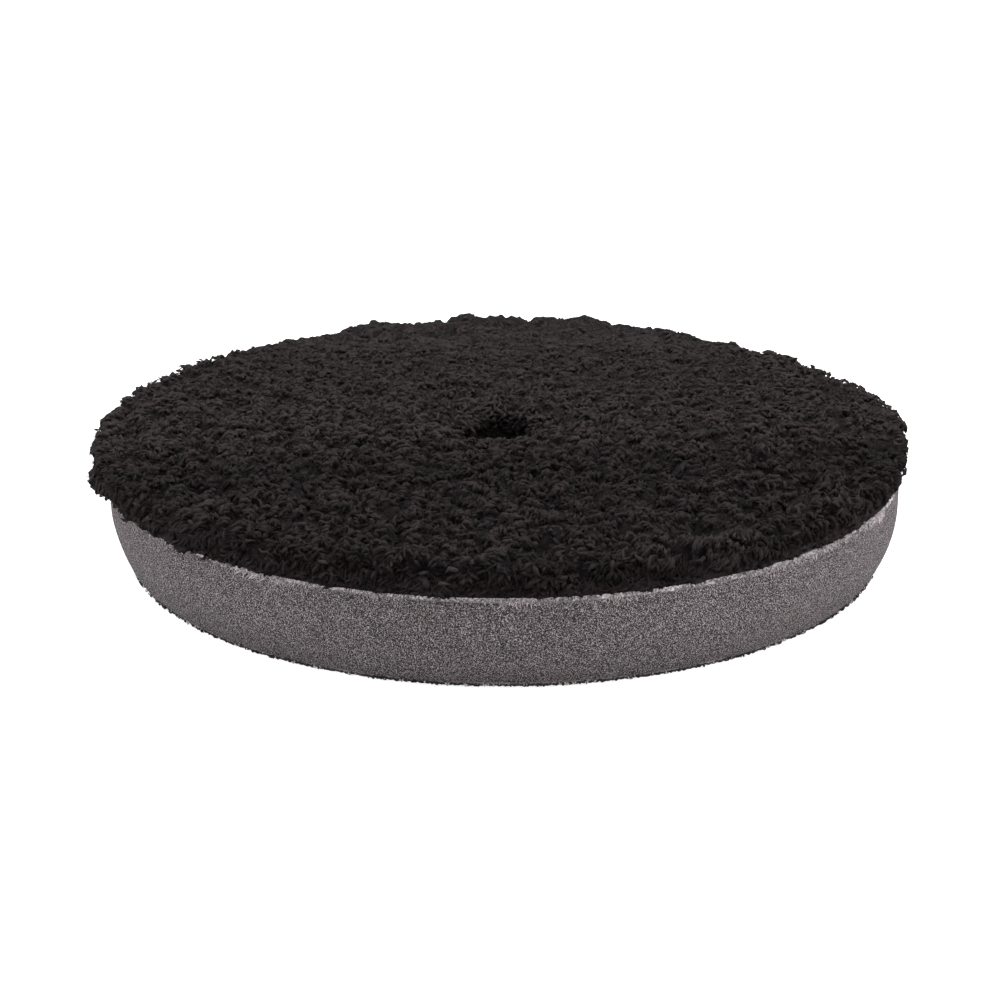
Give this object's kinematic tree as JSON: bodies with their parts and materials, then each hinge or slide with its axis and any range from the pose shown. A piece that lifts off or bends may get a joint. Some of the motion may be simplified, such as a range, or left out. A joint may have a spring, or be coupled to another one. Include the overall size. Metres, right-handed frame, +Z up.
{
  "type": "polishing pad",
  "caption": "Round microfibre polishing pad on a tapered foam interface, with a centre hole and a loop backing that grips a hook plate.",
  "frame": {"origin": "centre of the loop face, on the surface that the pad lies on", "axes": "+Z up along the pad's axis, from the loop face to the pile; the pad is round, so +X and +Y are any two square directions in its plane"},
  "size_m": [0.1661, 0.1659, 0.0248],
  "materials": {
    "loop_nap": "brushed nylon loops",
    "loop_ground": "fine warp knit",
    "adhesive_film": "hot-melt film",
    "foam": "open-cell polyurethane foam",
    "pile_cloth": "knitted ground cloth",
    "pile": "split microfibre pile"
  },
  "bodies": {
    "root": {"loop_nap": "loop_nap", "loop_ground": "loop_ground", "loop_film": "adhesive_film", "foam_interface": "foam", "face_film": "adhesive_film", "pile_cloth": "pile_cloth", "pile_bed": "pile", "face_tufts": "pile", "rim_tufts": "pile", "mouth_tufts": "pile"}
  },
  "joints": []
}
